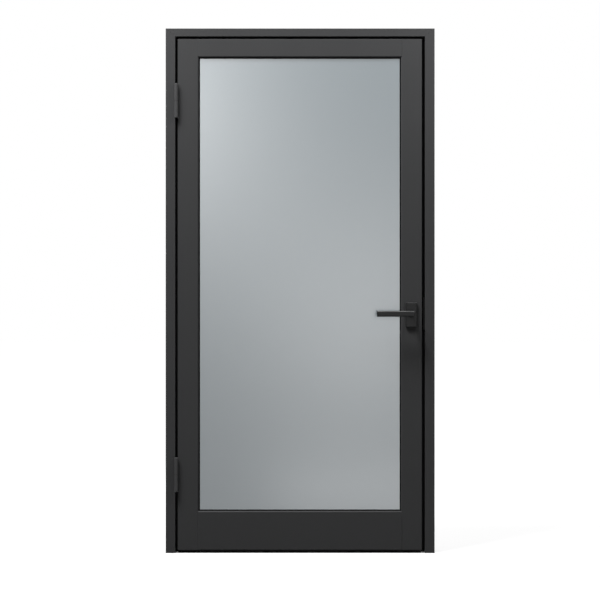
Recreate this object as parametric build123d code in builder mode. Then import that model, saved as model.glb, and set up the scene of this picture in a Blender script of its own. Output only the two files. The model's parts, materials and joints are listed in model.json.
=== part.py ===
from build123d import *
from math import radians, tan
import os

os.makedirs("parts", exist_ok=True)

# Single-leaf aluminium glass door, closed, hinged on the left and opening towards the viewer
# Origin on the floor, in the middle of the frame's width and of the leaf's thickness
# X runs to the lock side, Y to the back of the frame, Z up; all sizes in millimetres

# Overall sizes
frame_width = 1077.0
frame_height = 2100.0
frame_depth = 90.0
leaf_thickness = 50.0

# Faces of the profiles as seen from the front
jamb_face = 38.5
head_face = 32.5
stile_face = 83.5
top_rail_face = 73.0
bottom_rail_face = 155.5

# Gaps around the closed leaf
hinge_gap = 10.0
lock_gap = 12.5
head_gap = 10.0
floor_gap = 12.5

# Walls, edges and plays
frame_wall = 2.5
leaf_wall = 2.5
bead_wall = 1.8
edge_radius = 1.6
fit_play = 0.2
running_play = 0.05

# Stop profile behind the leaf
stop_projection = 22.0
stop_clearance = 4.0
stop_groove_width = 10.0
stop_groove_depth = 5.0
stop_bulb_radius = 1.8
stop_bulb_bore = 1.0
stop_root_width = 3.0
stop_root_depth = 1.2

# Glazing
lip_width = 19.0
lip_thickness = 4.0
lip_bevel_width = 4.0
lip_bevel_depth = 3.0
glass_thickness = 8.0
glass_bite = 13.0
glass_arris = 0.8
gasket_thickness = 3.0
gasket_reach = 4.0
gasket_grip = 8.0
bead_bevel = 5.0
bead_rib_width = 2.6
bead_rib_height = 1.2
block_length = 80.0

# Two lift-off hinges
hinge_height = 137.0
upper_hinge_drop = 248.0
lower_hinge_rise = 301.5
barrel_radius = 8.0
barrel_stand_off = 1.0
pin_radius = 4.0
washer_thickness = 1.5
cap_thickness = 2.5
wing_thickness = 3.0
wing_reach = 32.0

# Countersunk screws
screw_radius = 2.0
screw_head_radius = 3.8
screw_length = 14.0
countersink_angle = 90.0

# Lever handle and roses
handle_height = 958.0
backset = 42.5
lever_length = 152.0
lever_height = 23.0
lever_thickness = 11.0
lever_projection = 60.0
lever_bevel = 3.5
neck_radius = 9.5
spindle_size = 8.0
rose_width = 45.0
rose_height = 99.0
rose_drop = 4.5
rose_thickness = 9.0
rose_corner_radius = 3.0
rose_bevel = 2.0
rose_shell = 2.0
rose_bolt_rise = 39.0
rose_bolt_radius = 2.5
bush_radius = 13.0

# Mortise latch
latch_throw = 11.0
latch_width = 11.0
latch_height = 12.0
case_thickness = 16.0
case_height = 60.0
case_wall = 1.5
faceplate_width = 22.0
faceplate_height = 130.0
follower_radius = 9.5
collar_radius = 7.5
arm_radius = 2.5
arm_reach = 15.2
arm_thickness = 5.0
arm_lost_motion = 0.6

# Strike, anchors, seal and inner joining pieces
strike_thickness = 8.0
strike_depth = 24.0
anchor_radius = 5.0
anchor_end_distance = 150.0
anchor_back_shift = 14.0
seal_width = 14.0
seal_foot = 5.0
seal_floor_play = 0.8
carrier_wall = 2.0
spigot_length = 70.0
spigot_wall = 5.0
cap_depth = 10.0
cleat_reach = 75.0

# Levels derived from the sizes above
half_width = frame_width / 2
jamb_left = jamb_face - half_width
jamb_right = half_width - jamb_face
head_under = frame_height - head_face
front = -leaf_thickness / 2
back = leaf_thickness / 2
frame_back = front + frame_depth
frame_middle = (front + frame_back) / 2
leaf_left = jamb_left + hinge_gap
leaf_right = jamb_right - lock_gap
leaf_bottom = floor_gap
leaf_top = head_under - head_gap
leaf_height = leaf_top - leaf_bottom
stop_front = back + stop_clearance
stop_depth = frame_back - stop_front
stop_middle = (stop_front + frame_back) / 2
stile_box = stile_face - lip_width
box_left = leaf_left + stile_box
box_right = leaf_right - stile_box
box_low = leaf_bottom + bottom_rail_face - lip_width
box_high = leaf_top - top_rail_face + lip_width
rail_length = box_right - box_left
sight_left = leaf_left + stile_face
sight_right = leaf_right - stile_face
sight_low = leaf_bottom + bottom_rail_face
sight_high = leaf_top - top_rail_face
lip_back = front + lip_thickness
glass_front = lip_back + gasket_thickness
glass_back = glass_front + glass_thickness
bead_front = glass_back + gasket_thickness
bead_depth = back - bead_front
bead_rib_at = bead_front + bead_depth * 2 / 3
hinge_x = (jamb_left + leaf_left) / 2
hinge_y = front - barrel_stand_off - barrel_radius
hinge_levels = [leaf_bottom + lower_hinge_rise, leaf_top - upper_hinge_drop]
hinge_names = ["lower", "upper"]
wing_front = front + barrel_stand_off
wing_screw_y = wing_front + wing_reach * 2 / 3
knuckle = hinge_height / 2 - cap_thickness - washer_thickness / 2
screw_rows = [-hinge_height / 3, 0, hinge_height / 3]
screw_head_height = (screw_head_radius - screw_radius) / tan(radians(countersink_angle / 2))
spindle_x = leaf_right - backset
rose_z = handle_height - rose_drop
latch_z = handle_height + follower_radius + latch_height / 2 + 4 * fit_play
latch_back = spindle_x - arm_radius - arm_lost_motion
latch_rear = latch_back - arm_radius
latch_tip = leaf_right + latch_throw
pocket_width = latch_width * 3 / 2
pocket_height = latch_height * 3 / 2
case_rear = box_right + leaf_wall + fit_play
case_front = leaf_right - leaf_wall
anchor_y = front + leaf_thickness / 2 + anchor_back_shift
anchor_levels = [anchor_end_distance, frame_height / 2, frame_height - anchor_end_distance]
rose_top = front - rose_thickness
lever_front = front - lever_projection
lever_back = lever_front + lever_thickness
bolt_levels = [rose_z - rose_bolt_rise, rose_z + rose_bolt_rise]
plate_screw_rise = faceplate_height * 2 / 5
plate_screw_levels = [handle_height - plate_screw_rise, handle_height + plate_screw_rise]
strike_face = jamb_right - strike_thickness
spigot_screw_levels = [
    leaf_bottom + (box_low - leaf_bottom) / 4,
    leaf_bottom + (box_low - leaf_bottom) * 3 / 4,
    (box_high + leaf_top) / 2,
]

# Directions that drilled faces look in
lockwards = (1, 0, 0)
hingewards = (-1, 0, 0)
forwards = (0, -1, 0)

# Section planes of the frame: local x runs from the opening into the profile, local y to the back
hinge_reveal = Plane(origin=(jamb_left, 0, frame_height), x_dir=(-1, 0, 0), z_dir=(0, 0, -1))
strike_reveal = Plane(origin=(jamb_right, 0, 0), x_dir=(1, 0, 0), z_dir=(0, 0, 1))
head_reveal = Plane(origin=(half_width, 0, head_under), x_dir=(0, 0, 1), z_dir=(-1, 0, 0))

# Section planes of the leaf: local x runs from the leaf's edge towards the glass
hinge_edge = Plane(origin=(leaf_left, 0, leaf_bottom), x_dir=(1, 0, 0), z_dir=(0, 0, 1))
lock_edge = Plane(origin=(leaf_right, 0, leaf_top), x_dir=(-1, 0, 0), z_dir=(0, 0, -1))
top_edge = Plane(origin=(box_left, 0, leaf_top), x_dir=(0, 0, -1), z_dir=(1, 0, 0))
bottom_edge = Plane(origin=(box_right, 0, leaf_bottom), x_dir=(0, 0, 1), z_dir=(-1, 0, 0))

# Mitre planes of the frame's top corners, of the stops below them and of the glazing beads
mitre_left = Plane(origin=(jamb_left, 0, head_under), x_dir=(0, 1, 0), z_dir=(head_face, 0, jamb_face))
mitre_right = Plane(origin=(jamb_right, 0, head_under), x_dir=(0, 1, 0), z_dir=(-head_face, 0, jamb_face))
stop_mitre_left = Plane(origin=(jamb_left, 0, head_under), x_dir=(0, 1, 0), z_dir=(1, 0, 1))
stop_mitre_right = Plane(origin=(jamb_right, 0, head_under), x_dir=(0, 1, 0), z_dir=(-1, 0, 1))
bead_low_left = Plane(origin=(box_left, 0, box_low), x_dir=(0, 1, 0), z_dir=(-1, 0, 1))
bead_low_right = Plane(origin=(box_right, 0, box_low), x_dir=(0, 1, 0), z_dir=(1, 0, 1))
bead_high_left = Plane(origin=(box_left, 0, box_high), x_dir=(0, 1, 0), z_dir=(1, 0, 1))
bead_high_right = Plane(origin=(box_right, 0, box_high), x_dir=(0, 1, 0), z_dir=(-1, 0, 1))

# Pieces whose length starts at their own foot
footed = (Align.CENTER, Align.CENTER, Align.MIN)


# Drilling planes at the given places, all looking the same way
def facing(places, direction):
    return [Plane(origin=place, z_dir=direction) for place in places]


# Places of the hinge screws on one upright face
def wing_screw_places(x, levels):
    return [(x, wing_screw_y, level + row) for level in levels for row in screw_rows]


# Countersunk screws whose heads lie flush at the given places
def write_screws(name, places, turn):
    with BuildPart() as screws:
        with Locations(places):
            Cone(screw_head_radius, screw_radius, screw_head_height, rotation=(0, turn, 0), align=footed)
            Cylinder(screw_radius, screw_length, rotation=(0, turn, 0), align=footed)
    screws.part.label = name
    export_step(screws.part, "parts/" + name + ".step")


# Countersunk holes for those screws
def sink_screws(places, direction, depth):
    with Locations(*facing(places, direction)):
        CounterSinkHole(
            screw_radius + fit_play, screw_head_radius + fit_play, depth, counter_sink_angle=countersink_angle
        )


# Frame profile: a hollow rounded box with a groove for the stop on its opening side
def draw_frame_profile(face):
    with Locations((face / 2, frame_middle)):
        RectangleRounded(face, frame_depth, edge_radius)
        Rectangle(face - 2 * frame_wall, frame_depth - 2 * frame_wall, mode=Mode.SUBTRACT)
    with Locations(((stop_groove_depth + frame_wall) / 2, stop_middle)):
        Rectangle(stop_groove_depth + frame_wall, stop_groove_width + 2 * frame_wall)
    with Locations((stop_groove_depth / 2, stop_middle)):
        Rectangle(stop_groove_depth, stop_groove_width, mode=Mode.SUBTRACT)


# Hinge jamb, drilled for the anchors and the hinge screws
with BuildPart() as hinge_jamb:
    with BuildSketch(hinge_reveal) as hinge_jamb_section:
        draw_frame_profile(jamb_face)
    extrude(amount=frame_height)
    split(bisect_by=mitre_left, keep=Keep.BOTTOM)
    with Locations(*facing([(jamb_left, anchor_y, z) for z in anchor_levels], lockwards)):
        Hole(anchor_radius)
    with Locations(*facing(wing_screw_places(jamb_left, hinge_levels), lockwards)):
        Hole(screw_radius + fit_play, depth=2 * frame_wall)
hinge_jamb.part.label = "hinge_jamb"
export_step(hinge_jamb.part, "parts/hinge_jamb.step")

# Strike jamb: the same extrusion turned round, with a pocket for the latch
with BuildPart() as strike_jamb:
    with BuildSketch(strike_reveal) as strike_jamb_section:
        draw_frame_profile(jamb_face)
    extrude(amount=frame_height)
    split(bisect_by=mitre_right, keep=Keep.BOTTOM)
    with Locations(*facing([(jamb_right, anchor_y, z) for z in anchor_levels], hingewards)):
        Hole(anchor_radius)
    with Locations((jamb_right, 0, latch_z)):
        Box(3 * frame_wall, pocket_width, pocket_height, mode=Mode.SUBTRACT)
    with Locations(*facing([(jamb_right, 0, z) for z in plate_screw_levels], hingewards)):
        Hole(screw_radius + fit_play, depth=2 * frame_wall)
strike_jamb.part.label = "strike_jamb"
export_step(strike_jamb.part, "parts/strike_jamb.step")

# Head: slimmer hollow extrusion mitred between the jambs
with BuildPart() as frame_head:
    with BuildSketch(head_reveal) as head_section:
        draw_frame_profile(head_face)
    extrude(amount=frame_width)
    split(bisect_by=mitre_left, keep=Keep.TOP)
    split(bisect_by=mitre_right, keep=Keep.TOP)
frame_head.part.label = "frame_head"
export_step(frame_head.part, "parts/frame_head.step")

# Corner cleats: angle blocks inside the two frame mitres, clear of the stop groove
cleat_play = 3 * fit_play
cleat_out = frame_wall + cleat_play
cleat_back = stop_middle - stop_groove_width / 2 - frame_wall - cleat_play
with BuildPart() as frame_corner_cleats:
    with BuildSketch(Plane.XZ.offset(-(front + cleat_out))) as cleat_outline:
        with BuildLine():
            Polyline(
                (cleat_out - half_width, head_under - cleat_reach),
                (jamb_left - cleat_out, head_under - cleat_reach),
                (jamb_left - cleat_out, head_under + cleat_out),
                (jamb_left + cleat_reach, head_under + cleat_out),
                (jamb_left + cleat_reach, frame_height - cleat_out),
                (cleat_out - half_width, frame_height - cleat_out),
                close=True,
            )
        make_face()
    extrude(amount=front + cleat_out - cleat_back)
    mirror(about=Plane.YZ)
frame_corner_cleats.part.label = "frame_corner_cleats"
export_step(frame_corner_cleats.part, "parts/frame_corner_cleats.step")

# Stops: hollow profiles whose tongues snap into the grooves of the frame, mitred below the head
tongue_depth = stop_groove_depth - fit_play
tongue_width = stop_groove_width - 2 * fit_play
bulb_at = stop_projection / 2


def draw_stop_profile(section):
    with Locations((-stop_projection / 2, stop_middle)):
        Rectangle(stop_projection, stop_depth)
        chamfer(section.vertices().group_by(Axis.X)[0], edge_radius)
        Rectangle(stop_projection - 2 * frame_wall, stop_depth - 2 * frame_wall, mode=Mode.SUBTRACT)
    with Locations((tongue_depth / 2, stop_middle)):
        Rectangle(tongue_depth, tongue_width)
    with Locations((-bulb_at, stop_front)):
        Rectangle(stop_root_width, 2 * stop_root_depth, mode=Mode.SUBTRACT)


stops = [
    ("hinge_side_stop", hinge_reveal, frame_height, [(stop_mitre_left, Keep.BOTTOM)]),
    ("strike_side_stop", strike_reveal, frame_height, [(stop_mitre_right, Keep.BOTTOM)]),
    ("head_stop", head_reveal, frame_width, [(stop_mitre_left, Keep.TOP), (stop_mitre_right, Keep.TOP)]),
]
for name, reveal, length, mitres in stops:
    with BuildPart() as stop:
        with BuildSketch(reveal) as stop_section:
            draw_stop_profile(stop_section)
        extrude(amount=length)
        for mitre, kept_side in mitres:
            split(bisect_by=mitre, keep=kept_side)
    stop.part.label = name
    export_step(stop.part, "parts/" + name + ".step")

# Stop gaskets: three hollow rubber bulbs pressed into the stops' front grooves
bulb_y = stop_front - stop_bulb_radius
root_middle = (bulb_y + stop_front + stop_root_depth) / 2
root_length = stop_front + stop_root_depth - bulb_y
bulb_corner = bulb_at + stop_bulb_radius
side_bulb_length = head_under - bulb_corner
bulbs = [
    (hinge_reveal.offset(frame_height - side_bulb_length), side_bulb_length),
    (strike_reveal, side_bulb_length),
    (head_reveal.offset(jamb_face + bulb_corner), jamb_right - jamb_left - 2 * bulb_corner),
]
with BuildPart() as stop_gaskets:
    for start, length in bulbs:
        with BuildSketch(start) as bulb_section:
            with Locations((-bulb_at, root_middle)):
                Rectangle(stop_root_width, root_length)
            with Locations((-bulb_at, bulb_y)):
                Circle(stop_bulb_radius)
                Circle(stop_bulb_bore, mode=Mode.SUBTRACT)
        extrude(amount=length)
stop_gaskets.part.label = "stop_gaskets"
export_step(stop_gaskets.part, "parts/stop_gaskets.step")

# Strike block: fills most of the lock-side gap and takes the latch
with BuildPart() as strike_block:
    with Locations((jamb_right - strike_thickness / 2, 0, handle_height)):
        Box(strike_thickness, strike_depth, faceplate_height)
    fillet(strike_block.edges().filter_by(Axis.X), edge_radius)
    chamfer(strike_block.faces().sort_by(Axis.X)[0].edges(), edge_radius / 2)
    with Locations((jamb_right - strike_thickness / 2, 0, latch_z)):
        Box(2 * strike_thickness, pocket_width, pocket_height, mode=Mode.SUBTRACT)
    sink_screws([(strike_face, 0, z) for z in plate_screw_levels], hingewards, 2 * strike_thickness)
strike_block.part.label = "strike_block"
export_step(strike_block.part, "parts/strike_block.step")

# Strike screws
write_screws("strike_screws", [(strike_face, 0, z) for z in plate_screw_levels], 90)

# Hinge halves: the frame's has the lower knuckle, the leaf's the upper; their wings lie in the gap
hinge_halves = [
    ("_hinge_frame_half", -knuckle - washer_thickness / 2, jamb_left, jamb_left + wing_thickness, lockwards),
    ("_hinge_leaf_half", washer_thickness / 2, leaf_left, leaf_left - wing_thickness, hingewards),
]
for level, prefix in zip(hinge_levels, hinge_names):
    for suffix, knuckle_start, wing_foot, wing_face, direction in hinge_halves:
        wing_x = (wing_foot + wing_face) / 2
        with BuildPart() as hinge_half:
            with BuildSketch(Plane.XY.offset(level + knuckle_start)) as knuckle_section:
                with Locations((hinge_x, hinge_y)):
                    Circle(barrel_radius)
                with Locations((wing_x, (hinge_y + wing_front) / 2)):
                    Rectangle(wing_thickness, wing_front - hinge_y)
                with Locations((hinge_x, hinge_y)):
                    Circle(pin_radius + running_play, mode=Mode.SUBTRACT)
            extrude(amount=knuckle)
            with Locations((wing_x, wing_front + wing_reach / 2, level)):
                Box(wing_thickness, wing_reach, hinge_height - 2 * cap_thickness)
            sink_screws(wing_screw_places(wing_face, [level]), direction, 2 * wing_thickness)
        hinge_half.part.label = prefix + suffix
        export_step(hinge_half.part, "parts/" + prefix + suffix + ".step")

# Hinge pins, held in the frame knuckles
with BuildPart() as hinge_pins:
    with Locations([(hinge_x, hinge_y, level) for level in hinge_levels]):
        Cylinder(pin_radius, 2 * knuckle + washer_thickness)
    chamfer(hinge_pins.edges().filter_by(GeomType.CIRCLE), edge_radius / 2)
hinge_pins.part.label = "hinge_pins"
export_step(hinge_pins.part, "parts/hinge_pins.step")

# Hinge washers between the knuckles
with BuildPart() as hinge_washers:
    with Locations([(hinge_x, hinge_y, level) for level in hinge_levels]):
        Cylinder(barrel_radius - 2 * fit_play, washer_thickness - fit_play)
        Cylinder(pin_radius + fit_play, washer_thickness, mode=Mode.SUBTRACT)
hinge_washers.part.label = "hinge_washers"
export_step(hinge_washers.part, "parts/hinge_washers.step")

# Caps below the frame knuckles and above the leaf knuckles, bevelled on their outer ends
cap_shift = hinge_height / 2 - cap_thickness / 2
for name, shift, outer in (("hinge_bottom_caps", -cap_shift, 0), ("hinge_top_caps", cap_shift, 1)):
    with BuildPart() as hinge_caps:
        with Locations([(hinge_x, hinge_y, level + shift) for level in hinge_levels]):
            Cylinder(barrel_radius, cap_thickness)
        rims = hinge_caps.edges().filter_by(GeomType.CIRCLE).sort_by(Axis.Z)
        chamfer(rims[outer::2], cap_thickness / 3)
    hinge_caps.part.label = name
    export_step(hinge_caps.part, "parts/" + name + ".step")

# Screws that hold the wings to the jamb and to the hinge stile
write_screws("hinge_frame_screws", wing_screw_places(jamb_left + wing_thickness, hinge_levels), -90)
write_screws("hinge_leaf_screws", wing_screw_places(leaf_left - wing_thickness, hinge_levels), 90)


# Glazing lip: the front skin of a leaf profile, bevelled down to the gasket
def draw_lip(face):
    Polygon(
        (face - lip_width, front),
        (face - lip_bevel_width, front),
        (face, front + lip_bevel_depth),
        (face, lip_back),
        (face - lip_width, lip_back),
        align=None,
    )


# Leaf profile: a hollow box with the lip and a groove for the bead's rib
def draw_leaf_profile(section, face):
    box = face - lip_width
    with Locations((box / 2, 0)):
        Rectangle(box, leaf_thickness)
    fillet(section.vertices().group_by(Axis.X)[0], edge_radius)
    draw_lip(face)
    with Locations((box / 2, 0)):
        Rectangle(box - 2 * leaf_wall, leaf_thickness - 2 * leaf_wall, mode=Mode.SUBTRACT)
    with Locations((box, bead_rib_at)):
        Rectangle(2 * bead_rib_height + 2 * fit_play, bead_rib_width + 2 * fit_play, mode=Mode.SUBTRACT)


# Hinge stile, drilled for the hinge screws and the corner screws
with BuildPart() as hinge_stile:
    with BuildSketch(hinge_edge) as hinge_stile_section:
        draw_leaf_profile(hinge_stile_section, stile_face)
    extrude(amount=leaf_height)
    with Locations(*facing(wing_screw_places(leaf_left, hinge_levels), hingewards)):
        Hole(screw_radius + fit_play, depth=2 * leaf_wall)
    with Locations(*facing([(box_left, 0, z) for z in spigot_screw_levels], lockwards)):
        Hole(rose_bolt_radius + fit_play, depth=2 * leaf_wall)
hinge_stile.part.label = "hinge_stile"
export_step(hinge_stile.part, "parts/hinge_stile.step")

# Lock stile: the same extrusion turned round, cut out for the latch and the lever set
with BuildPart() as lock_stile:
    with BuildSketch(lock_edge) as lock_stile_section:
        draw_leaf_profile(lock_stile_section, stile_face)
    extrude(amount=leaf_height)
    with Locations((leaf_right, 0, handle_height)):
        Box(
            3 * leaf_wall,
            faceplate_width + 2 * fit_play,
            faceplate_height + 2 * fit_play,
            mode=Mode.SUBTRACT,
        )
    with Locations(*facing([(spindle_x, front, handle_height)], forwards)):
        Hole(follower_radius)
    with Locations(*facing([(spindle_x, front, z) for z in bolt_levels], forwards)):
        Hole(rose_bolt_radius + fit_play)
    with Locations(*facing([(box_right, 0, z) for z in spigot_screw_levels], hingewards)):
        Hole(rose_bolt_radius + fit_play, depth=2 * leaf_wall)
lock_stile.part.label = "lock_stile"
export_step(lock_stile.part, "parts/lock_stile.step")

# Rails: between the stiles, their front skins scribed over the stiles' bevelled lips
rails = [("top_rail", top_edge, top_rail_face), ("bottom_rail", bottom_edge, bottom_rail_face)]
for name, edge, face in rails:
    with BuildPart() as rail:
        with BuildSketch(edge) as rail_section:
            draw_leaf_profile(rail_section, face)
        extrude(amount=rail_length)
        for stile_edge in (hinge_edge, lock_edge):
            with BuildSketch(stile_edge) as scribe:
                draw_lip(stile_face)
            extrude(amount=leaf_height, mode=Mode.SUBTRACT)
    rail.part.label = name
    export_step(rail.part, "parts/" + name + ".step")

# Spigots: rectangular tubes inside the rail ends that carry the corner screws
spigot_depth = back - leaf_wall - lip_back - 2 * fit_play
spigot_y = (back - leaf_wall + lip_back) / 2
spigot_ends = [box_left + spigot_length / 2, box_right - spigot_length / 2]
with BuildPart() as corner_spigots:
    for low, high in ((leaf_bottom, box_low), (box_high, leaf_top)):
        tube = high - low - 2 * leaf_wall - 2 * fit_play
        with Locations([(x, spigot_y, (low + high) / 2) for x in spigot_ends]):
            Box(spigot_length, spigot_depth, tube)
            Box(spigot_length - 2 * spigot_wall, leaf_thickness, tube - 2 * spigot_wall, mode=Mode.SUBTRACT)
    with Locations(*facing([(box_left, 0, z) for z in spigot_screw_levels], hingewards)):
        Hole(rose_bolt_radius + fit_play, depth=2 * spigot_wall)
    with Locations(*facing([(box_right, 0, z) for z in spigot_screw_levels], lockwards)):
        Hole(rose_bolt_radius + fit_play, depth=2 * spigot_wall)
corner_spigots.part.label = "corner_spigots"
export_step(corner_spigots.part, "parts/corner_spigots.step")

# Corner screws, driven through the stile walls into the spigots
with BuildPart() as corner_screws:
    for wall_x, turn in ((box_left - leaf_wall, 90), (box_right + leaf_wall, -90)):
        with Locations([(wall_x, 0, z) for z in spigot_screw_levels]):
            Cylinder(2 * rose_bolt_radius, rose_bolt_radius, rotation=(0, -turn, 0), align=footed)
            Cylinder(rose_bolt_radius, screw_length, rotation=(0, turn, 0), align=footed)
corner_screws.part.label = "corner_screws"
export_step(corner_screws.part, "parts/corner_screws.step")

# Caps in the open ends of both stiles
with BuildPart() as stile_end_caps:
    cap_centres = [(leaf_left + box_left) / 2, (leaf_right + box_right) / 2]
    cap_levels = [leaf_bottom + cap_depth / 2, leaf_top - cap_depth / 2]
    with Locations([(x, 0, z) for x in cap_centres for z in cap_levels]):
        Box(
            stile_box - 2 * leaf_wall - 2 * fit_play,
            leaf_thickness - 2 * leaf_wall - 2 * fit_play,
            cap_depth,
        )
stile_end_caps.part.label = "stile_end_caps"
export_step(stile_end_caps.part, "parts/stile_end_caps.step")

# Glass pane with ground arrises, held by its edge behind the lips
pane_x = (sight_left + sight_right) / 2
pane_z = (sight_low + sight_high) / 2
sight_width = sight_right - sight_left
sight_height = sight_high - sight_low
with BuildPart() as glass_pane:
    with Locations((pane_x, (glass_front + glass_back) / 2, pane_z)):
        Box(sight_width + 2 * glass_bite, glass_thickness, sight_height + 2 * glass_bite)
    chamfer(glass_pane.faces().sort_by(Axis.Y)[0].edges(), glass_arris)
    chamfer(glass_pane.faces().sort_by(Axis.Y)[-1].edges(), glass_arris)
glass_pane.part.label = "glass_pane"
export_step(glass_pane.part, "parts/glass_pane.step")

# Setting blocks under the pane
with BuildPart() as setting_blocks:
    block_y = (glass_front + glass_back) / 2
    block_z = (box_low + sight_low - glass_bite) / 2
    with Locations([(pane_x + s * sight_width / 3, block_y, block_z) for s in (-1, 1)]):
        Box(block_length, glass_thickness, lip_width - glass_bite)
setting_blocks.part.label = "setting_blocks"
export_step(setting_blocks.part, "parts/setting_blocks.step")

# Glazing gaskets: joined rings before and behind the pane, sloped where they show
for name, seat, shown in (("outer_glazing_gasket", glass_front, 0), ("inner_glazing_gasket", bead_front, -1)):
    with BuildPart() as gasket:
        with BuildSketch(Plane.XZ.offset(-seat)) as ring:
            with Locations((pane_x, pane_z)):
                Rectangle(sight_width + 2 * gasket_grip, sight_height + 2 * gasket_grip)
                Rectangle(sight_width - 2 * gasket_reach, sight_height - 2 * gasket_reach, mode=Mode.SUBTRACT)
        extrude(amount=gasket_thickness)
        chamfer(gasket.faces().sort_by(Axis.Y)[shown].inner_wires()[0].edges(), gasket_reach / 2)
    gasket.part.label = name
    export_step(gasket.part, "parts/" + name + ".step")

# Glazing beads: hollow profiles with a bevelled sight edge and a rib that snaps into the groove
bead_middle = (bead_front + back) / 2


def draw_bead_profile(section, face):
    with Locations((face - lip_width / 2, bead_middle)):
        Rectangle(lip_width, bead_depth)
    chamfer(section.vertices().sort_by(Axis.Y)[-2:].sort_by(Axis.X)[-1], bead_bevel)
    offset(amount=-bead_wall, kind=Kind.INTERSECTION, mode=Mode.SUBTRACT)
    with Locations((face - lip_width - bead_rib_height / 2, bead_rib_at)):
        Rectangle(bead_rib_height, bead_rib_width)


side_cuts = (Keep.TOP, Keep.BOTTOM)
top_cuts = (Keep.TOP, Keep.TOP)
low_cuts = (Keep.BOTTOM, Keep.BOTTOM)
beads = [
    ("hinge_side_bead", hinge_edge, stile_face, leaf_height, (bead_low_left, bead_high_left), side_cuts),
    ("lock_side_bead", lock_edge, stile_face, leaf_height, (bead_low_right, bead_high_right), side_cuts),
    ("top_bead", top_edge, top_rail_face, rail_length, (bead_high_left, bead_high_right), top_cuts),
    ("bottom_bead", bottom_edge, bottom_rail_face, rail_length, (bead_low_left, bead_low_right), low_cuts),
]
for name, edge, face, length, mitres, kept_sides in beads:
    with BuildPart() as bead:
        with BuildSketch(edge) as bead_section:
            draw_bead_profile(bead_section, face)
        extrude(amount=length)
        for mitre, kept_side in zip(mitres, kept_sides):
            split(bisect_by=mitre, keep=kept_side)
    bead.part.label = name
    export_step(bead.part, "parts/" + name + ".step")

# Bottom seal carrier: a plate with two legs under the leaf
seal_length = leaf_right - leaf_left - 2 * carrier_wall
carrier_low = leaf_bottom - carrier_wall
leg_low = carrier_low - floor_gap / 3
with BuildPart() as bottom_seal_carrier:
    with BuildSketch(Plane.YZ.offset(leaf_left + carrier_wall)) as carrier_section:
        with Locations((0, leaf_bottom - carrier_wall / 2)):
            Rectangle(2 * seal_width, carrier_wall)
        with Locations((0, (leg_low + carrier_low) / 2)):
            Rectangle(seal_width + 2 * carrier_wall, carrier_low - leg_low)
            Rectangle(seal_width, carrier_low - leg_low, mode=Mode.SUBTRACT)
    extrude(amount=seal_length)
bottom_seal_carrier.part.label = "bottom_seal_carrier"
export_step(bottom_seal_carrier.part, "parts/bottom_seal_carrier.step")

# Bottom seal: rubber strip that tapers to a foot just above the floor
seal_half = seal_width / 2 - fit_play
with BuildPart() as bottom_seal:
    with BuildSketch(Plane.YZ.offset(leaf_left + carrier_wall)) as seal_section:
        with BuildLine():
            Polyline(
                (-seal_half, carrier_low - fit_play),
                (seal_half, carrier_low - fit_play),
                (seal_half, leg_low),
                (seal_foot / 2, seal_floor_play),
                (-seal_foot / 2, seal_floor_play),
                (-seal_half, leg_low),
                close=True,
            )
        make_face()
    extrude(amount=seal_length)
bottom_seal.part.label = "bottom_seal"
export_step(bottom_seal.part, "parts/bottom_seal.step")

# Latch case: shallow tray with a front flange behind the faceplate
case_x = (case_rear + case_front) / 2
case_inner = case_front - case_rear - 3 * case_wall
with BuildPart() as latch_case:
    with Locations((case_x, 0, handle_height)):
        Box(case_front - case_rear, case_thickness, case_height)
    with Locations((case_x - case_wall / 2, case_wall, handle_height)):
        Box(case_inner, case_thickness, case_height - 2 * case_wall, mode=Mode.SUBTRACT)
    with Locations((case_front - case_wall, 0, handle_height)):
        Box(2 * case_wall, faceplate_width - 2 * case_wall, faceplate_height - 4 * case_wall)
    with Locations((case_front, 0, latch_z)):
        Box(6 * case_wall, latch_width + 2 * fit_play, latch_height + 2 * fit_play, mode=Mode.SUBTRACT)
    with Locations(*facing([(spindle_x, -case_thickness / 2, handle_height)], forwards)):
        Hole(collar_radius + running_play, depth=2 * case_wall)
    with Locations(*facing([(case_front, 0, z) for z in plate_screw_levels], lockwards)):
        Hole(screw_radius + fit_play, depth=4 * case_wall)
latch_case.part.label = "latch_case"
export_step(latch_case.part, "parts/latch_case.step")

# Lid that closes the latch case
with BuildPart() as latch_case_lid:
    with Locations((case_x - case_wall / 2, (case_thickness - case_wall) / 2, handle_height)):
        Box(case_inner - 2 * fit_play, case_wall, case_height - 2 * case_wall - 2 * fit_play)
    with Locations(*facing([(spindle_x, 0, handle_height)], forwards)):
        Hole(collar_radius + running_play)
latch_case_lid.part.label = "latch_case_lid"
export_step(latch_case_lid.part, "parts/latch_case_lid.step")

# Faceplate, flush in the edge of the lock stile
with BuildPart() as latch_faceplate:
    with Locations((leaf_right - leaf_wall / 2, 0, handle_height)):
        Box(leaf_wall, faceplate_width, faceplate_height)
    with Locations((leaf_right, 0, latch_z)):
        Box(3 * leaf_wall, latch_width + 2 * fit_play, latch_height + 2 * fit_play, mode=Mode.SUBTRACT)
    sink_screws([(leaf_right, 0, z) for z in plate_screw_levels], lockwards, 2 * leaf_wall)
latch_faceplate.part.label = "latch_faceplate"
export_step(latch_faceplate.part, "parts/latch_faceplate.step")

# Faceplate screws, driven into the case's flange
write_screws("faceplate_screws", [(leaf_right, 0, z) for z in plate_screw_levels], -90)

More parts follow.
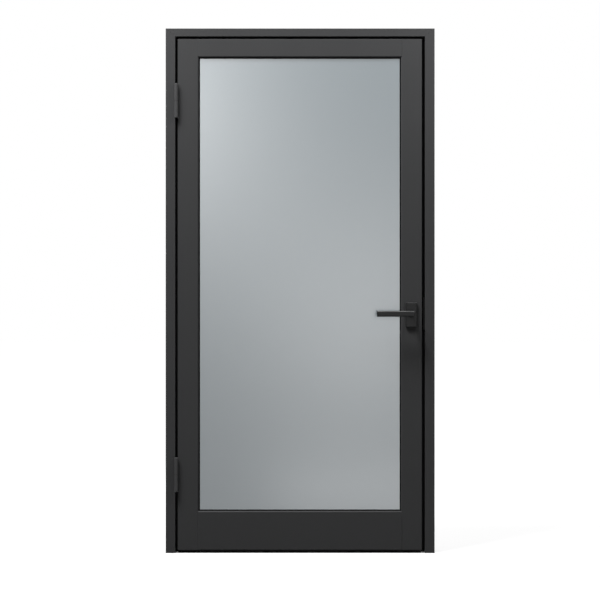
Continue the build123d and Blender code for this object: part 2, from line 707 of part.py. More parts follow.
# Front rose: bevelled cover, hollow behind, with a round hole for the lever bush
with BuildPart() as front_rose:
    with BuildSketch(Plane.XZ.offset(-front)) as rose_outline:
        with Locations((spindle_x, rose_z)):
            RectangleRounded(rose_width, rose_height, rose_corner_radius)
    extrude(amount=rose_thickness)
    chamfer(front_rose.faces().sort_by(Axis.Y)[0].edges(), rose_bevel)
    with BuildSketch(Plane.XZ.offset(-front)) as rose_hollow:
        with Locations((spindle_x, rose_z)):
            Rectangle(rose_width - 2 * rose_shell, rose_height - 2 * rose_shell)
    extrude(amount=rose_thickness - rose_shell - rose_bevel, mode=Mode.SUBTRACT)
    with Locations(*facing([(spindle_x, rose_top, handle_height)], forwards)):
        Hole(bush_radius + running_play)
front_rose.part.label = "front_rose"
export_step(front_rose.part, "parts/front_rose.step")

# Rear rose, mirrored
with BuildPart() as rear_rose:
    mirror(front_rose.part, about=Plane.XZ)
rear_rose.part.label = "rear_rose"
export_step(rear_rose.part, "parts/rear_rose.step")

# Rose bases: plates under both covers, drilled for the bush and the through-bolts
with BuildPart() as rose_bases:
    with BuildSketch(Plane.XZ.offset(-front)) as base_outline:
        with Locations((spindle_x, rose_z)):
            Rectangle(rose_width - 2 * rose_shell - 2 * fit_play, rose_height - 2 * rose_shell - 2 * fit_play)
    extrude(amount=rose_thickness - rose_shell - rose_bevel - fit_play)
    with Locations(*facing([(spindle_x, front, handle_height)], forwards)):
        Hole(bush_radius + running_play)
    with Locations(*facing([(spindle_x, front, z) for z in bolt_levels], forwards)):
        Hole(rose_bolt_radius + fit_play)
    mirror(about=Plane.XZ)
rose_bases.part.label = "rose_bases"
export_step(rose_bases.part, "parts/rose_bases.step")

# Through-bolts that pull the two bases together
with BuildPart() as rose_bolts:
    with Locations([(spindle_x, 0, z) for z in bolt_levels]):
        Cylinder(rose_bolt_radius, leaf_thickness + rose_thickness - 2 * rose_shell, rotation=(90, 0, 0))
rose_bolts.part.label = "rose_bolts"
export_step(rose_bolts.part, "parts/rose_bolts.step")

# Lever bushes: bearing rings in both roses, just proud of the covers
with BuildPart() as lever_bushes:
    with BuildSketch(Plane.XZ.offset(-front)) as bush_section:
        with Locations((spindle_x, handle_height)):
            Circle(bush_radius)
            Circle(neck_radius + running_play, mode=Mode.SUBTRACT)
    extrude(amount=rose_thickness + rose_shell / 2)
    mirror(about=Plane.XZ)
lever_bushes.part.label = "lever_bushes"
export_step(lever_bushes.part, "parts/lever_bushes.step")

# Front lever: flat bar with bevelled edges on a round neck, pointing to the hinges
spindle_half = -lever_back - spindle_size
neck_end = front - rose_shell / 2
grub_y = (lever_back + rose_top) / 2
with BuildPart() as front_lever:
    with BuildSketch(Plane.XZ.offset(-lever_back)) as lever_outline:
        with Locations((spindle_x + (lever_height - lever_length) / 2, handle_height)):
            Rectangle(lever_length, lever_height)
    extrude(amount=lever_thickness)
    chamfer(front_lever.faces().sort_by(Axis.Y)[0].edges(), lever_bevel)
    chamfer(front_lever.faces().sort_by(Axis.Y)[-1].edges(), edge_radius / 2)
    with BuildSketch(Plane.XZ.offset(-lever_back)) as neck_section:
        with Locations((spindle_x, handle_height)):
            Circle(neck_radius)
    extrude(amount=lever_back - neck_end)
    with Locations((spindle_x, (neck_end - spindle_half) / 2, handle_height)):
        Box(
            spindle_size + fit_play,
            spindle_half + neck_end + fit_play,
            spindle_size + fit_play,
            mode=Mode.SUBTRACT,
        )
    with Locations((spindle_x, grub_y, handle_height - neck_radius)):
        Cylinder(screw_radius + fit_play, 2 * neck_radius - spindle_size, mode=Mode.SUBTRACT)
front_lever.part.label = "front_lever"
export_step(front_lever.part, "parts/front_lever.step")

# Rear lever, mirrored
with BuildPart() as rear_lever:
    mirror(front_lever.part, about=Plane.XZ)
rear_lever.part.label = "rear_lever"
export_step(rear_lever.part, "parts/rear_lever.step")

# Square spindle through both levers and the follower
with BuildPart() as spindle:
    with Locations((spindle_x, 0, handle_height)):
        Box(spindle_size, 2 * spindle_half, spindle_size)
spindle.part.label = "spindle"
export_step(spindle.part, "parts/spindle.step")

# Grub screws that lock the necks on the spindle, just below flush
grub_length = neck_radius - spindle_size / 2 - screw_radius / 2
with BuildPart() as grub_screws:
    with Locations([(spindle_x, y, handle_height - spindle_size / 2) for y in (grub_y, -grub_y)]):
        Cylinder(screw_radius, grub_length, align=(Align.CENTER, Align.CENTER, Align.MAX))
grub_screws.part.label = "grub_screws"
export_step(grub_screws.part, "parts/grub_screws.step")

# Follower: hub with bearing collars and an arm that draws the latch back
with BuildPart() as follower:
    with Locations((spindle_x, 0, handle_height)):
        Cylinder(collar_radius, case_thickness, rotation=(90, 0, 0))
        Cylinder(follower_radius, case_thickness - 2 * case_wall - 2 * fit_play, rotation=(90, 0, 0))
    with Locations((spindle_x, 0, handle_height + arm_reach / 2)):
        Box(2 * arm_radius, arm_thickness, arm_reach)
    with Locations((spindle_x, 0, handle_height + arm_reach)):
        Cylinder(arm_radius, arm_thickness, rotation=(90, 0, 0))
    with Locations((spindle_x, 0, handle_height)):
        Box(spindle_size + fit_play, leaf_thickness, spindle_size + fit_play, mode=Mode.SUBTRACT)
follower.part.label = "follower"
export_step(follower.part, "parts/follower.step")

# Latch bolt: bevelled nose towards the stop, and a window in its tail for the follower's arm
with BuildPart() as latch_bolt:
    with Locations(((latch_rear + latch_tip) / 2, 0, latch_z)):
        Box(latch_tip - latch_rear, latch_width, latch_height)
    with Locations(((latch_back + spindle_x + follower_radius) / 2, 0, latch_z)):
        Box(
            spindle_x + follower_radius - latch_back,
            arm_thickness + 2 * fit_play,
            2 * latch_height,
            mode=Mode.SUBTRACT,
        )
    with BuildSketch(Plane.XY.offset(latch_z - latch_height)) as nose_bevel:
        with BuildLine():
            Polyline(
                (latch_tip, -latch_width / 4),
                (latch_tip, latch_width / 2),
                (leaf_right, latch_width / 2),
                close=True,
            )
        make_face()
    extrude(amount=2 * latch_height, mode=Mode.SUBTRACT)
latch_bolt.part.label = "latch_bolt"
export_step(latch_bolt.part, "parts/latch_bolt.step")
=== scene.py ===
# Glass door with its frame: finishes, small fittings and a plain white studio
import json
import math

import bmesh
import bpy
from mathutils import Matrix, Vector

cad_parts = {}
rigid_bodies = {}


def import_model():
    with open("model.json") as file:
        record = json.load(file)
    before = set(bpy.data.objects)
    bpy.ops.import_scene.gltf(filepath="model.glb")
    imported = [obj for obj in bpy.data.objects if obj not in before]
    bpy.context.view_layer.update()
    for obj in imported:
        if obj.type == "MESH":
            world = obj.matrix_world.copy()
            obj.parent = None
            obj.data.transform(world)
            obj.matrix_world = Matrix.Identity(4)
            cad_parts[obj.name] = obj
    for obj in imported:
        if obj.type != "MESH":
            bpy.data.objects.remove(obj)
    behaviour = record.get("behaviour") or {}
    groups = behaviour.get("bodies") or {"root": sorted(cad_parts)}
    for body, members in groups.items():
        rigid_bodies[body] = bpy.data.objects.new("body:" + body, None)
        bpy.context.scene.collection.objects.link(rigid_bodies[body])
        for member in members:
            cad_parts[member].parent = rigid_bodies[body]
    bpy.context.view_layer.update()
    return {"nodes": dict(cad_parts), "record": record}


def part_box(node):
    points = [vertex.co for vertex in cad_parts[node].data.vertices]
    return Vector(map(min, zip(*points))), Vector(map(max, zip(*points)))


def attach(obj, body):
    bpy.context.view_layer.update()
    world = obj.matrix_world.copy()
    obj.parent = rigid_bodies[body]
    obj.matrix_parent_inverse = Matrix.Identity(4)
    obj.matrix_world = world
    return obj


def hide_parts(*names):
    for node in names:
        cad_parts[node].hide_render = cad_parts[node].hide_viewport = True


for spare in list(bpy.data.objects):  # an opened file may hold a start cube
    bpy.data.objects.remove(spare)

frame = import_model()
nodes = frame["nodes"]
print("frame loaded:", len(nodes), "pieces")

noiseMiddle = 0.5  # what a noise texture gives on average


class Wire:
    # one output socket; sums on wires add Math nodes to its tree
    def __init__(self, tree, socket=None):
        self.tree = tree
        self.socket = socket

    def node(self, kind, settings, sockets, output=0):
        made = self.tree.nodes.new(kind)
        for name, value in settings.items():
            setattr(made, name, value)
        for name, value in sockets.items():
            if isinstance(value, Wire):
                self.tree.links.new(value.socket, made.inputs[name])
            else:
                made.inputs[name].default_value = value
        return Wire(self.tree, made.outputs[output])

    def also(self, output):
        # another output of the same node
        return Wire(self.tree, self.socket.node.outputs[output])

    def sum(self, operation, first, second):
        return self.node("ShaderNodeMath", {"operation": operation}, {0: first, 1: second})

    def __add__(self, other):
        return self.sum("ADD", self, other)

    def __radd__(self, other):
        return self.sum("ADD", other, self)

    def __sub__(self, other):
        return self.sum("SUBTRACT", self, other)

    def __rsub__(self, other):
        return self.sum("SUBTRACT", other, self)

    def __mul__(self, other):
        return self.sum("MULTIPLY", self, other)

    def __rmul__(self, other):
        return self.sum("MULTIPLY", other, self)

    def swing(self, spread):
        # a noise as a change to either side of nothing
        return (self - noiseMiddle) * spread

    def step(self, low, high):
        # 0 below low, 1 above high, smooth between
        return self.node("ShaderNodeMapRange", {"interpolation_type": "SMOOTHSTEP"},
                         {"Value": self, "From Min": low, "From Max": high})

    def noise(self, spot, scale, detail=2.0, rough=0.5):
        return self.node("ShaderNodeTexNoise", {"noise_dimensions": "3D"},
                         {"Vector": spot, "Scale": scale, "Detail": detail, "Roughness": rough})

    def blendColour(self, share, first, second):
        return self.node("ShaderNodeMix", {"data_type": "RGBA"},
                         {0: share, 6: first, 7: second}, 2)

    def stretch(self, spot, scale):
        return self.node("ShaderNodeMapping", {}, {"Vector": spot, "Scale": scale})

    def bump(self, height, strength, depth, normal=None):
        # relief on the surface, or on another normal if one is given
        sockets = {"Height": height, "Strength": strength, "Distance": depth}
        if normal is not None:
            sockets["Normal"] = normal
        return self.node("ShaderNodeBump", {}, sockets)


def shade(colour, factor):
    return (*[min(1.0, part * factor) for part in colour], 1)


def startFinish(name):
    # a new material with an empty tree, and the piece's own coordinates in it
    finish = bpy.data.materials.new(name)
    finish.use_nodes = True
    finish.node_tree.nodes.clear()
    pen = Wire(finish.node_tree)
    spot = pen.node("ShaderNodeTexCoord", {}, {}, "Object")
    return finish, pen, spot


def endTree(pen, kind, last):
    # the tree's output node, fed by its last socket
    out = pen.tree.nodes.new(kind)
    pen.tree.links.new(last.socket, out.inputs[0])


def closeFinish(pen, sockets):
    shader = pen.node("ShaderNodeBsdfPrincipled", {}, sockets, "BSDF")
    endTree(pen, "ShaderNodeOutputMaterial", shader)


# powder coats: a fine orange peel, cloudy depth of colour, rounded at the edges and paler there, partly a
# thinner worn coat and partly a painted highlight
profileCoat = {"name": "profilePowderCoat", "tone": (0.0322, 0.0325, 0.0333), "cloud": 0.06,
               "cloudScale": 5.0, "peelScale": 620.0, "grainScale": 2400.0, "peelDepth": 0.00012,
               "rough": 0.55, "roughSpread": 0.08, "shine": 0.05,
               "edgeRadius": 0.0016, "edgeWearHighlightShare": 0.10}
hingeCoat = {"name": "hingePowderCoat", "tone": (0.036, 0.0362, 0.0369), "cloud": 0.08,
             "cloudScale": 18.0, "peelScale": 900.0, "grainScale": 3000.0, "peelDepth": 0.00008,
             "rough": 0.42, "roughSpread": 0.08, "shine": 0.10,
             "edgeRadius": 0.0016, "edgeWearHighlightShare": 0.2}
handleCoat = {"name": "handleSatinCoat", "tone": (0.005, 0.0051, 0.0053), "cloud": 0.08,
              "cloudScale": 26.0, "peelScale": 1400.0, "grainScale": 4200.0, "peelDepth": 0.00005,
              "rough": 0.34, "roughSpread": 0.10, "shine": 0.13,
              "edgeRadius": 0.0034, "edgeWearHighlightShare": 0.3}
coatMix = {"speckShare": 0.35, "speckLift": 1.9, "wornHighlightLift": 2.2, "edgeRough": 0.3,
           "peelShare": 0.7, "grainShare": 0.3}


def powderCoat(look):
    finish, pen, spot = startFinish(look["name"])
    cloud = pen.noise(spot, look["cloudScale"], detail=3.0, rough=0.55)
    peel = pen.noise(spot, look["peelScale"])
    grain = pen.noise(spot, look["grainScale"], detail=1.0)
    rounded = pen.node("ShaderNodeBevel", {"samples": 4}, {"Radius": look["edgeRadius"]})
    facing = pen.node("ShaderNodeNewGeometry", {}, {}, "Normal")
    level = pen.node("ShaderNodeVectorMath", {"operation": "DOT_PRODUCT"},
                     {0: rounded, 1: facing}, "Value")
    edge = (1 - level).step(low=0.02, high=0.25)
    speck = grain.step(low=0.62, high=0.80) * coatMix["speckShare"]
    body = pen.blendColour(cloud, shade(look["tone"], 1 - look["cloud"]),
                           shade(look["tone"], 1 + look["cloud"]))
    specked = pen.blendColour(speck, body, shade(look["tone"], coatMix["speckLift"]))
    # every edge is paler: a thinner, worn coat and a painted highlight where the rounding catches the lamps
    wornAndHighlighted = pen.blendColour(edge * look["edgeWearHighlightShare"], specked, shade(look["tone"], coatMix["wornHighlightLift"]))
    rough = look["rough"] + peel.swing(look["roughSpread"]) + cloud.swing(look["roughSpread"])
    relief = peel * coatMix["peelShare"] + grain * coatMix["grainShare"]
    closeFinish(pen, {"Base Color": wornAndHighlighted, "Roughness": rough + edge * coatMix["edgeRough"],
                      "Specular IOR Level": look["shine"],
                      "Normal": pen.bump(relief, strength=0.35, depth=look["peelDepth"], normal=rounded)})
    return finish


# acid-etched pane: even fine grain, faint clouds from the bath, cool grey-green body
paneLook = {"tone": (0.085, 0.107, 0.119), "cloud": 0.03, "cloudScale": 2.2, "etchScale": 2600.0,
            "etchDepth": 0.00004, "rough": 0.30, "roughSpread": 0.08, "through": 0.10,
            "shine": 1.0, "bend": 1.72}


def satinGlass(look):
    finish, pen, spot = startFinish("satinEtchedGlass")
    cloud = pen.noise(spot, look["cloudScale"], detail=4.0, rough=0.6)
    etch = pen.noise(spot, look["etchScale"], rough=0.6)
    body = pen.blendColour(cloud, shade(look["tone"], 1 - look["cloud"]),
                           shade(look["tone"], 1 + look["cloud"]))
    closeFinish(pen, {"Base Color": body, "Roughness": look["rough"] + etch.swing(look["roughSpread"]),
                      "Transmission Weight": look["through"], "IOR": look["bend"],
                      "Specular IOR Level": look["shine"],
                      "Normal": pen.bump(etch, strength=0.15, depth=look["etchDepth"])})
    return finish


# extruded rubber: fine drawn lines, dusty bloom
rubberLook = {"tone": (0.004, 0.004, 0.0042), "bloom": 1.8, "bloomScale": 40.0, "bloomShare": 0.6,
              "grainScale": 3500.0, "grainShare": 0.6, "lines": (1.0, 1800.0, 0.02), "lineShare": 0.4,
              "reliefDepth": 0.00008, "rough": 0.75, "roughSpread": 0.2, "shine": 0.02}


def gasketRubber(look):
    finish, pen, spot = startFinish("extrudedRubber")
    bloom = pen.noise(spot, look["bloomScale"], detail=4.0, rough=0.6)
    grain = pen.noise(spot, look["grainScale"], detail=1.0)
    drawn = pen.noise(pen.stretch(spot, look["lines"]), 1.0, detail=1.0)
    body = pen.blendColour(bloom.step(low=0.45, high=0.8) * look["bloomShare"], (*look["tone"], 1),
                           shade(look["tone"], look["bloom"]))
    relief = grain * look["grainShare"] + drawn * look["lineShare"]
    closeFinish(pen, {"Base Color": body, "Roughness": look["rough"] + bloom.swing(look["roughSpread"]),
                      "Specular IOR Level": look["shine"],
                      "Normal": pen.bump(relief, strength=0.3, depth=look["reliefDepth"])})
    return finish


# metals: lines left by the die, the grinder or the tumbler; the black layer on steel is no bare metal
rawAluminiumLook = {"name": "millAluminium", "tone": (0.62, 0.63, 0.64), "spread": 0.14,
                    "lines": (900.0, 900.0, 3.0), "rough": 0.36, "lineDepth": 0.00004,
                    "metal": 1.0, "shine": 0.5}
darkSteelLook = {"name": "blackedSteel", "tone": (0.014, 0.014, 0.0146), "spread": 0.25,
                 "lines": (1500.0, 1500.0, 12.0), "rough": 0.45, "lineDepth": 0.00003,
                 "metal": 0.0, "shine": 0.08}
plainSteelLook = {"name": "brightSteel", "tone": (0.50, 0.50, 0.495), "spread": 0.12,
                  "lines": (1200.0, 1200.0, 40.0), "rough": 0.30, "lineDepth": 0.00002,
                  "metal": 1.0, "shine": 0.5}
metalMix = {"stainScale": 35.0, "lineShare": 0.6, "stainShare": 0.4, "lineRough": 0.14, "stainRough": 0.16}


def linedMetal(look):
    finish, pen, spot = startFinish(look["name"])
    lines = pen.noise(pen.stretch(spot, look["lines"]), 1.0)
    stain = pen.noise(spot, metalMix["stainScale"], detail=4.0, rough=0.6)
    share = lines * metalMix["lineShare"] + stain * metalMix["stainShare"]
    body = pen.blendColour(share, shade(look["tone"], 1 - look["spread"]),
                           shade(look["tone"], 1 + look["spread"]))
    rough = look["rough"] + lines.swing(metalMix["lineRough"]) + stain.swing(metalMix["stainRough"])
    closeFinish(pen, {"Base Color": body, "Metallic": look["metal"],
                      "Specular IOR Level": look["shine"], "Roughness": rough,
                      "Normal": pen.bump(lines, strength=0.3, depth=look["lineDepth"])})
    return finish


# moulded nylon: a soft spark-eroded texture
nylonLook = {"tone": (0.007, 0.007, 0.0072), "flowScale": 60.0, "flowDark": 0.85, "flowPale": 1.25,
             "sparkScale": 1700.0, "sparkDepth": 0.00008, "rough": 0.52, "roughSpread": 0.16,
             "shine": 0.06}


def mouldedNylon(look):
    finish, pen, spot = startFinish("mouldedNylon")
    spark = pen.noise(spot, look["sparkScale"], detail=3.0, rough=0.6)
    flow = pen.noise(spot, look["flowScale"], detail=3.0)
    body = pen.blendColour(flow, shade(look["tone"], look["flowDark"]),
                           shade(look["tone"], look["flowPale"]))
    closeFinish(pen, {"Base Color": body, "Roughness": look["rough"] + spark.swing(look["roughSpread"]),
                      "Specular IOR Level": look["shine"],
                      "Normal": pen.bump(spark, strength=0.4, depth=look["sparkDepth"])})
    return finish


finishes = {"coated_profile": powderCoat(profileCoat), "coated_hinge": powderCoat(hingeCoat),
            "coated_handle": powderCoat(handleCoat), "satin_glass": satinGlass(paneLook),
            "gasket_rubber": gasketRubber(rubberLook), "raw_aluminium": linedMetal(rawAluminiumLook),
            "dark_steel": linedMetal(darkSteelLook), "plain_steel": linedMetal(plainSteelLook),
            "black_nylon": mouldedNylon(nylonLook)}
slotOf = {row["node"]: row["material_slot"] for row in frame["record"]["subparts"]}
for name, piece in nodes.items():
    piece.data.materials.clear()
    piece.data.materials.append(finishes[slotOf[name]])
print("finishes set:", len(finishes))


def startTree(name, inputs):
    # a geometry tree with named inputs
    tree = bpy.data.node_groups.new(name, "GeometryNodeTree")
    for label, kind in inputs:
        tree.interface.new_socket(label, in_out="INPUT", socket_type=kind)
    tree.interface.new_socket("Geometry", in_out="OUTPUT", socket_type="NodeSocketGeometry")
    pen = Wire(tree)
    given = tree.nodes.new("NodeGroupInput")
    return pen, {label: Wire(tree, given.outputs[label]) for label, kind in inputs}


def closeTree(pen, shape, finish):
    whole = pen.node("GeometryNodeRealizeInstances", {}, {"Geometry": shape})
    dressed = pen.node("GeometryNodeSetMaterial", {}, {"Geometry": whole, "Material": finish})
    endTree(pen, "NodeGroupOutput", dressed)
    return pen.tree


def grow(name, tree, points, values):
    # runs a tree on a few points and keeps its result as a plain mesh
    seedMesh = bpy.data.meshes.new(name + "Spots")
    seedMesh.from_pydata(points, [], [])
    piece = bpy.data.objects.new(name, seedMesh)
    bpy.context.scene.collection.objects.link(piece)
    modifier = piece.modifiers.new("tree", "NODES")
    modifier.node_group = tree
    for item in tree.interface.items_tree:
        if item.in_out == "INPUT" and item.name in values:
            modifier[item.identifier] = values[item.name]
    bpy.context.view_layer.update()
    settled = piece.evaluated_get(bpy.context.evaluated_depsgraph_get())
    grown = bpy.data.meshes.new_from_object(settled)
    piece.modifiers.remove(modifier)
    piece.data = grown
    return piece


# countersunk screws with a hexagon socket, in the seats of the plain screws
screwLook = {"socketWidth": 0.0025, "socketDepth": 0.0011, "shankRadius": 0.0020, "headDepth": 0.0018,
             "shankShare": 0.98, "cornerShare": 0.577, "headSides": 32, "shankSides": 16, "seed": 4}
hexagonSides = 6


def screwTree(look):
    pen, given = startTree("countersunkScrews", [
        ("Spots", "NodeSocketGeometry"), ("Head Radius", "NodeSocketFloat"),
        ("Head Depth", "NodeSocketFloat"), ("Shank Radius", "NodeSocketFloat"),
        ("Length", "NodeSocketFloat"), ("Socket Width", "NodeSocketFloat"),
        ("Socket Depth", "NodeSocketFloat"), ("Turn", "NodeSocketVector"),
        ("Finish", "NodeSocketMaterial")])
    head = pen.node("GeometryNodeMeshCone", {"fill_type": "NGON"},
                    {"Vertices": look["headSides"], "Radius Top": given["Head Radius"],
                     "Radius Bottom": given["Shank Radius"], "Depth": given["Head Depth"]})
    shank = pen.node("GeometryNodeMeshCylinder", {"fill_type": "NGON"},
                     {"Vertices": look["shankSides"], "Depth": given["Length"],
                      "Radius": given["Shank Radius"] * look["shankShare"]})
    drop = pen.node("ShaderNodeCombineXYZ", {}, {"Z": given["Head Depth"] * 0.5 - given["Length"] * 0.5})
    shank = pen.node("GeometryNodeTransform", {}, {"Geometry": shank, "Translation": drop})
    solid = pen.node("GeometryNodeMeshBoolean", {"operation": "UNION"}, {"Mesh 2": head})
    pen.tree.links.new(shank.socket, solid.socket.node.inputs["Mesh 2"])
    socketShape = pen.node("GeometryNodeMeshCylinder", {"fill_type": "NGON"},
                           {"Vertices": hexagonSides, "Depth": given["Socket Depth"] * 2,
                            "Radius": given["Socket Width"] * look["cornerShare"]})
    rise = pen.node("ShaderNodeCombineXYZ", {}, {"Z": given["Head Depth"]})
    socketShape = pen.node("GeometryNodeTransform", {}, {"Geometry": socketShape, "Translation": rise})
    cut = pen.node("GeometryNodeMeshBoolean", {"operation": "DIFFERENCE"},
                   {"Mesh 1": solid, "Mesh 2": socketShape})
    sink = pen.node("ShaderNodeCombineXYZ", {}, {"Z": given["Head Depth"] * -1})
    flush = pen.node("GeometryNodeTransform", {}, {"Geometry": cut, "Translation": sink})
    aim = pen.node("FunctionNodeEulerToRotation", {}, {"Euler": given["Turn"]})
    placed = pen.node("GeometryNodeInstanceOnPoints", {},
                      {"Points": given["Spots"], "Instance": flush, "Rotation": aim})
    twist = pen.node("FunctionNodeRandomValue", {"data_type": "FLOAT"},
                     {2: 0.0, 3: 2 * math.pi, "Seed": look["seed"]}, 1)
    spin = pen.node("FunctionNodeEulerToRotation", {},
                    {"Euler": pen.node("ShaderNodeCombineXYZ", {}, {"Z": twist})})
    turned = pen.node("GeometryNodeRotateInstances", {}, {"Instances": placed, "Rotation": spin})
    return closeTree(pen, turned, given["Finish"])


mergeGap = 0.00001  # corners of loose triangles closer than this are one
sortDigits = 4


def loosePieces(node):
    # the boxes of the separate solids in one node, from the lowest up
    shape = bmesh.new()
    shape.from_mesh(nodes[node].data)
    bmesh.ops.remove_doubles(shape, verts=shape.verts, dist=mergeGap)
    left = set(shape.verts)
    boxes = []
    while left:
        group = [left.pop()]
        for vert in group:
            for link in vert.link_edges:
                other = link.other_vert(vert)
                if other in left:
                    left.remove(other)
                    group.append(other)
        spots = [vert.co for vert in group]
        boxes.append((Vector(map(min, zip(*spots))), Vector(map(max, zip(*spots)))))
    shape.free()
    return sorted(boxes, key=lambda pair: tuple(round(part, sortDigits) for part in reversed(pair[0])))


screwSets = {"hingeFrameScrews": ("hinge_frame_screws", "frame", 1),
             "hingeLeafScrews": ("hinge_leaf_screws", "leaf", -1),
             "strikeScrews": ("strike_screws", "frame", -1),
             "faceplateScrews": ("faceplate_screws", "leaf", 1)}
countersunk = screwTree(screwLook)
for name, (node, body, side) in screwSets.items():
    boxes = loosePieces(node)
    spots = [((high.x if side > 0 else low.x), (low.y + high.y) / 2, (low.z + high.z) / 2)
             for low, high in boxes]
    low, high = boxes[0]
    piece = grow(name, countersunk, spots, {
        "Head Radius": (high.z - low.z) / 2, "Head Depth": screwLook["headDepth"],
        "Shank Radius": screwLook["shankRadius"], "Length": high.x - low.x,
        "Socket Width": screwLook["socketWidth"], "Socket Depth": screwLook["socketDepth"],
        "Turn": (0.0, side * math.pi / 2, 0.0), "Finish": finishes["plain_steel"]})
    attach(piece, body)
    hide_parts(node)
    print(name, len(spots), "screws,", len(piece.data.polygons), "faces")

# glazing gaskets: a wedge with a rounded nose, mitred round the sight line
gasketLook = {"reach": 0.0070, "slope": 0.0016, "noseRadius": 0.0006, "noseSteps": 3}


def gasketTree(look):
    pen, given = startTree("glazingGasket", [
        ("Spots", "NodeSocketGeometry"), ("Width", "NodeSocketFloat"), ("Height", "NodeSocketFloat"),
        ("Centre", "NodeSocketVector"), ("Grip", "NodeSocketFloat"), ("Reach", "NodeSocketFloat"),
        ("Depth", "NodeSocketFloat"), ("Slope", "NodeSocketFloat"), ("Nose", "NodeSocketFloat"),
        ("Finish", "NodeSocketMaterial")])
    loop = pen.node("GeometryNodeCurvePrimitiveQuadrilateral", {"mode": "RECTANGLE"},
                    {"Width": given["Width"], "Height": given["Height"]})
    mitre = math.sqrt(2)  # the sweep narrows its section at square corners
    corners = [(given["Grip"] * mitre, given["Depth"]), (given["Reach"] * -mitre, given["Depth"]),
               (given["Slope"] * -mitre, 0.0), (given["Grip"] * mitre, 0.0)]
    points = [pen.node("ShaderNodeCombineXYZ", {}, {"X": across, "Y": deep}) for across, deep in corners]
    wedge = pen.node("GeometryNodeCurvePrimitiveQuadrilateral", {"mode": "POINTS"},
                     {f"Point {count}": point for count, point in enumerate(points, 1)})
    soft = pen.node("GeometryNodeFilletCurve", {"mode": "POLY"},
                    {"Curve": wedge, "Count": look["noseSteps"], "Radius": given["Nose"]})
    swept = pen.node("GeometryNodeCurveToMesh", {}, {"Curve": loop, "Profile Curve": soft})
    upright = pen.node("GeometryNodeTransform", {},
                       {"Geometry": swept, "Translation": given["Centre"],
                        "Rotation": (math.pi / 2, 0.0, 0.0)})
    return closeTree(pen, upright, given["Finish"])


gasketSets = {"outerGlazingGasket": ("outer_glazing_gasket", 1),
              "innerGlazingGasket": ("inner_glazing_gasket", -1)}
glazingWedge = gasketTree(gasketLook)
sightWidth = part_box("lock_stile")[0].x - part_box("hinge_stile")[1].x
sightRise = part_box("top_rail")[0].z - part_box("bottom_rail")[1].z
for name, (node, side) in gasketSets.items():
    low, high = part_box(node)
    middle = (low + high) / 2
    shownFace = low.y if side > 0 else high.y
    piece = grow(name, glazingWedge, [(0, 0, 0)], {
        "Width": sightWidth, "Height": sightRise, "Centre": (middle.x, shownFace, middle.z),
        "Grip": (high.x - low.x - sightWidth) / 2, "Reach": gasketLook["reach"],
        "Depth": (high.y - low.y) * side, "Slope": gasketLook["slope"],
        "Nose": gasketLook["noseRadius"], "Finish": finishes["gasket_rubber"]})
    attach(piece, "leaf")
    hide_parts(node)
    print(name, len(piece.data.polygons), "faces")

# the studio: a pale floor that fades into a white background, and the photo's point of view
studio = {"floorSize": 60.0, "floorDrop": 0.0004, "floorTone": (0.17, 0.17, 0.17), "fill": 0.02,
          "floorNear": 0.81, "nearEnd": 2.0, "farStart": 6.0,
          "contactFar": 0.042, "contactDark": 0.28, "contactClear": 0.56, "contactSamples": 8,
          "cameraFar": 6.0, "pictureWidth": 2.402, "cameraX": -0.0006, "cameraZ": 1.0127,
          "sensor": 36.0, "clipEnd": 100.0}


def seenRay(pen):
    # 1 for what the camera sees, straight or by way of the pane; 0 for light on the object
    path = pen.node("ShaderNodeLightPath", {}, {}, "Is Camera Ray")
    shown = path.sum("MAXIMUM", path, path.also("Is Glossy Ray"))
    return shown.sum("MAXIMUM", shown, path.also("Is Transmission Ray"))


def makeFloor(look):
    shape = bmesh.new()
    bmesh.ops.create_grid(shape, x_segments=1, y_segments=1, size=look["floorSize"] / 2)
    mesh = bpy.data.meshes.new("studioFloor")
    shape.to_mesh(mesh)
    shape.free()
    floor = bpy.data.objects.new("studioFloor", mesh)
    floor.location.z = -look["floorDrop"]
    bpy.context.scene.collection.objects.link(floor)
    finish, pen, spot = startFinish("paleFloor")
    matt = pen.node("ShaderNodeBsdfDiffuse", {}, {"Color": (*look["floorTone"], 1)})
    # the glow falls off where the floor is occluded: a painted contact shadow under and along the door
    clear = pen.node("ShaderNodeAmbientOcclusion", {"samples": look["contactSamples"]},
                     {"Distance": look["contactFar"]}, "AO")
    lit = clear.step(look["contactDark"], look["contactClear"])
    away = pen.node("ShaderNodeVectorMath", {"operation": "LENGTH"}, {0: spot}, "Value")
    white = look["floorNear"] + away.step(look["nearEnd"], look["farStart"]) * (1 - look["floorNear"])
    glow = pen.node("ShaderNodeEmission", {}, {"Strength": seenRay(pen) * lit * white})
    both = pen.node("ShaderNodeAddShader", {}, {0: matt, 1: glow})
    endTree(pen, "ShaderNodeOutputMaterial", both)
    mesh.materials.append(finish)


def makeWorld(look):
    world = bpy.data.worlds.new("whiteStudio")
    world.use_nodes = True
    world.node_tree.nodes.clear()
    pen = Wire(world.node_tree)
    shown = seenRay(pen)
    sky = pen.node("ShaderNodeBackground", {},
                   {"Color": (1, 1, 1, 1), "Strength": shown * (1 - look["fill"]) + look["fill"]})
    endTree(pen, "ShaderNodeOutputWorld", sky)
    bpy.context.scene.world = world


doorMiddle = (0.0, 0.0, 1.0)
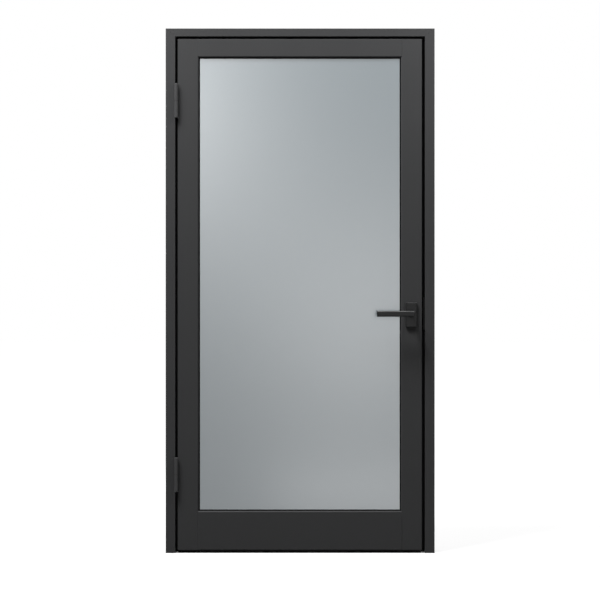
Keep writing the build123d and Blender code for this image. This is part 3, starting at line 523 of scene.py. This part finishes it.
# two keys and a broad lamp high at the left, weaker ones at the right, two at the top corners, two behind
lamps = {
    "keyLeft": {"place": (-2.5, -1.5, 5.0), "aim": doorMiddle, "size": (1.0, 1.0), "power": 200.0},
    "keyMid": {"place": (-0.9, -1.2, 5.0), "aim": doorMiddle, "size": (0.8, 0.8), "power": 158.0},
    "overhead": {"place": (-1.5, -1.5, 6.0), "aim": doorMiddle, "size": (1.0, 1.0), "power": 255.0},
    "sideRight": {"place": (2.0, -1.6, 4.0), "aim": doorMiddle, "size": (0.8, 0.8), "power": 50.0},
    "highLeft": {"place": (-1.0, -0.5, 2.3), "aim": (-0.4, 0.0, 1.8), "size": (0.4, 0.4), "power": 2.6},
    "highRight": {"place": (1.0, -0.5, 2.3), "aim": (0.4, 0.0, 1.8), "size": (0.4, 0.4), "power": 4.0},
    "backLeft": {"place": (1.5, 1.6, 2.4), "aim": (0.2, 0.0, 1.4), "size": (1.4, 1.4), "power": 55.0},
    "backRight": {"place": (-1.4, 2.6, 1.6), "aim": doorMiddle, "size": (1.0, 1.6), "power": 70.0}}
# cards that only shiny faces see: they shape the pane's reflection and the lever's bright edge
cards = {
    "farLeftCard": {"place": (-1.6, -7.5, 2.9), "aim": doorMiddle, "size": (1.0, 1.2), "power": 65.5},
    "farMidCard": {"place": (-0.6, -7.5, 1.7), "aim": doorMiddle, "size": (1.0, 1.2), "power": 10.5},
    "farLowCard": {"place": (0.6, -7.5, 0.7), "aim": doorMiddle, "size": (1.0, 1.2), "power": 23.0},
    "farRightCard": {"place": (1.1, -7.5, 1.6), "aim": doorMiddle, "size": (0.8, 1.0), "power": 8.5},
    "nearLowCard": {"place": (0.42, -1.5, 0.05), "aim": (0.3, 0.0, 0.15), "size": (1.1, 0.10), "power": 1.45},
    "topCard": {"place": (0.45, -0.4, 3.2), "aim": (0.42, -0.06, 0.98), "size": (0.7, 0.5), "power": 45.0}}


def hangLamp(name, look):
    light = bpy.data.lights.new(name, "AREA")
    light.shape = "RECTANGLE"
    light.size, light.size_y = look["size"]
    light.energy = look["power"]
    lamp = bpy.data.objects.new(name, light)
    lamp.location = look["place"]
    sight = Vector(look["aim"]) - Vector(look["place"])
    lamp.rotation_euler = sight.to_track_quat("-Z", "Y").to_euler()
    lamp.visible_camera = False
    bpy.context.scene.collection.objects.link(lamp)
    return lamp


makeFloor(studio)
makeWorld(studio)
for name, look in lamps.items():
    hangLamp(name, look)
for name, look in cards.items():
    hangLamp(name, look).visible_diffuse = False
print("studio lit:", ", ".join([*lamps, *cards]))

lens = bpy.data.cameras.new("photoCamera")
lens.sensor_width = studio["sensor"]
lens.lens = studio["sensor"] * studio["cameraFar"] / studio["pictureWidth"]
lens.clip_end = studio["clipEnd"]
camera = bpy.data.objects.new("photoCamera", lens)
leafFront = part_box("lock_stile")[0].y
camera.location = (studio["cameraX"], leafFront - studio["cameraFar"], studio["cameraZ"])
camera.rotation_euler = (math.pi / 2, 0.0, 0.0)
bpy.context.scene.collection.objects.link(camera)
bpy.context.scene.camera = camera
bpy.context.scene.view_settings.view_transform = "Standard"
